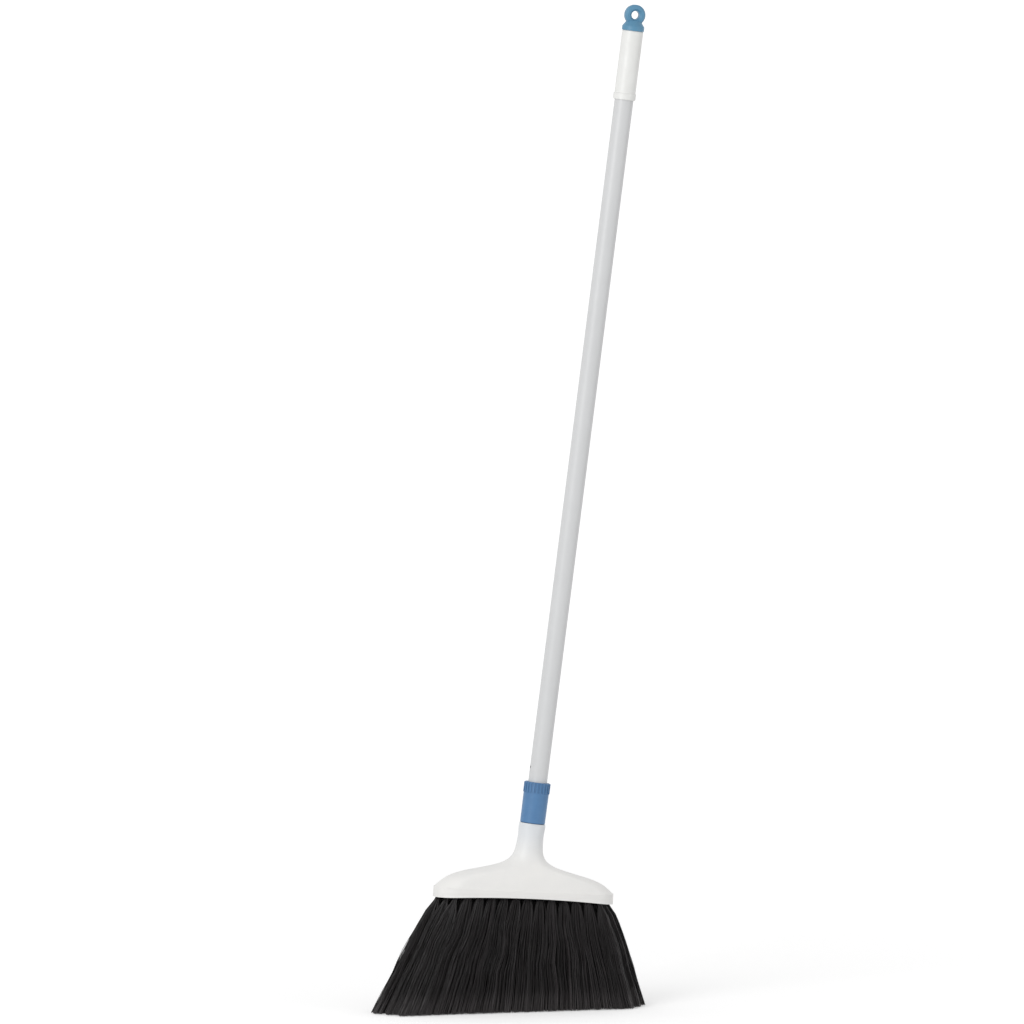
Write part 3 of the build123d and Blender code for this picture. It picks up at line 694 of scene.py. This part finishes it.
# Hand grip: a sleeve of white plastic pressed on the top of the tube, with a bead round its lower end. It
# is a little glossier than the cover where hands have held it.
GRIP_WHITE = (0.765, 0.768, 0.752, 1)
GRIP_SHADE = (0.728, 0.729, 0.712, 1)
GRIP_RUB = 0.18
grip_plastic, tree, shader = new_material("white_grip_plastic", IOR=1.49)
grain = add_group(tree, surface_grain, Fineness=1300.0, Depth=0.000014, Mottle_Scale=40.0)
rubbed = add_group(tree, rub_marks, Round=700.0, Along=14.0, Patch_Scale=25.0)["Mask"]
colour = mixed_colour(tree, grain["Mottle"], GRIP_WHITE, GRIP_SHADE)
faint = number_math(tree, "MULTIPLY", rubbed, GRIP_RUB)
tree.links.new(mixed_colour(tree, faint, colour, RUB_GREY), shader.inputs["Base Color"])
tree.links.new(ranged(tree, grain["Mottle"], 0.32, 0.46), shader.inputs["Roughness"])
add_relief(tree, shader, grain["Height"])
dress(grip_plastic, "hand_grip")


# Hang cap: blue moulding with a plug in the tube, a base that covers the grip's end, and an eye to hang
# the broom by. Its blue is a little greener than the collar's.
CAP_BLUE = (0.094, 0.258, 0.405, 1)
CAP_SHADE = (0.082, 0.229, 0.364, 1)
dress(blue_plastic_material("blue_cap_plastic", CAP_BLUE, CAP_SHADE), "hang_cap")


# The studio: a pale floor that runs on past the picture, a white surround, and soft light from the left.
FLOOR_HALF = 90.0
FLOOR_GREY = (0.86, 0.86, 0.86, 1)
NEAR_GLOW = 0.26  # added to what the camera sees of the floor, so that it is white outside the shadow
FAR_GLOW = 0.50
NEAR, FAR = 0.4, 4.0  # distances from the broom between which the glow grows
SURROUND_LIGHT = 0.67


def seen_ray(tree):
    """1 for what the camera sees, straight or by way of a mirror or glass, and 0 for what lights things."""
    rays = add_node(tree, "ShaderNodeLightPath").outputs
    mirrored = number_math(tree, "MAXIMUM", rays["Is Glossy Ray"], rays["Is Transmission Ray"])
    return number_math(tree, "MAXIMUM", rays["Is Camera Ray"], mirrored)


floor_mesh = bpy.data.meshes.new("floor")
floor_corners = [(x * FLOOR_HALF, y * FLOOR_HALF, 0) for x, y in ((-1, -1), (1, -1), (1, 1), (-1, 1))]
floor_mesh.from_pydata(floor_corners, [], [range(4)])
floor = bpy.data.objects.new("floor", floor_mesh)
bpy.context.scene.collection.objects.link(floor)
floor_paint, tree, shader = new_material("pale_floor", Roughness=0.9, Base_Color=FLOOR_GREY)
glow = ranged(tree, vector_math(tree, "LENGTH", object_place(tree)), NEAR_GLOW, FAR_GLOW, NEAR, FAR)
glow = number_math(tree, "MULTIPLY", glow, seen_ray(tree))
emission = add_node(tree, "ShaderNodeEmission", {"Strength": glow}).outputs["Emission"]
floor_shader = add_node(tree, "ShaderNodeAddShader", {0: shader.outputs["BSDF"], 1: emission})
tree.links.new(floor_shader.outputs["Shader"], tree.nodes["Material Output"].inputs["Surface"])
floor_mesh.materials.append(floor_paint)

surround = bpy.data.worlds.new("white_surround")
bpy.context.scene.world = surround
surround.use_nodes = True
tree = surround.node_tree
strength = ranged(tree, seen_ray(tree), SURROUND_LIGHT, 1.0)
tree.nodes["Background"].inputs["Color"].default_value = (1, 1, 1, 1)
tree.links.new(strength, tree.nodes["Background"].inputs["Strength"])


def soft_light(name, place, size, power):
    """A rectangular lamp that faces the middle of the broom."""
    light = bpy.data.lights.new(name, "AREA")
    light.shape = "RECTANGLE"
    light.size, light.size_y = size
    light.energy = power
    lamp = bpy.data.objects.new(name, light)
    bpy.context.scene.collection.objects.link(lamp)
    lamp.location = place
    broom_middle = (Vector(cad_box[0]) + Vector(cad_box[1])) / 2
    lamp.rotation_euler = (broom_middle - Vector(place)).to_track_quat("-Z", "Y").to_euler()


soft_light("key_light", place=(-2.6, -2.2, 2.2), size=(1.8, 2.6), power=60)
soft_light("fill_light", place=(2.6, -2.4, 1.4), size=(2.0, 2.4), power=11.5)


# The camera: a long lens, far off, a little to the left of the broom's front and above it.
IMAGE_SIZE = 1024
AZIMUTH = radians(-16.1)
ELEVATION = radians(4.7)
CAMERA_DISTANCE = 20.0
PIXELS_PER_METRE = 762.4
FOOT_PIXEL = (508.8, 1009.4)  # where the pole's axis meets the floor in the photograph
SENSOR_WIDTH = 36.0
right = Vector((cos(AZIMUTH), sin(AZIMUTH), 0))
back = Vector((sin(AZIMUTH) * cos(ELEVATION), -cos(AZIMUTH) * cos(ELEVATION), sin(ELEVATION)))
up = back.cross(right)
image_middle = IMAGE_SIZE / 2
target = (right * (image_middle - FOOT_PIXEL[0]) + up * (FOOT_PIXEL[1] - image_middle)) / PIXELS_PER_METRE
camera_data = bpy.data.cameras.new("camera")
camera_data.sensor_width = SENSOR_WIDTH
camera_data.lens = SENSOR_WIDTH * CAMERA_DISTANCE * PIXELS_PER_METRE / IMAGE_SIZE
camera_data.clip_end = 4 * FLOOR_HALF
camera = bpy.data.objects.new("camera", camera_data)
bpy.context.scene.collection.objects.link(camera)
camera.location = target + back * CAMERA_DISTANCE
camera.rotation_euler = (-back).to_track_quat("-Z", "Y").to_euler()
bpy.context.scene.camera = camera
bpy.context.scene.view_settings.view_transform = "Standard"
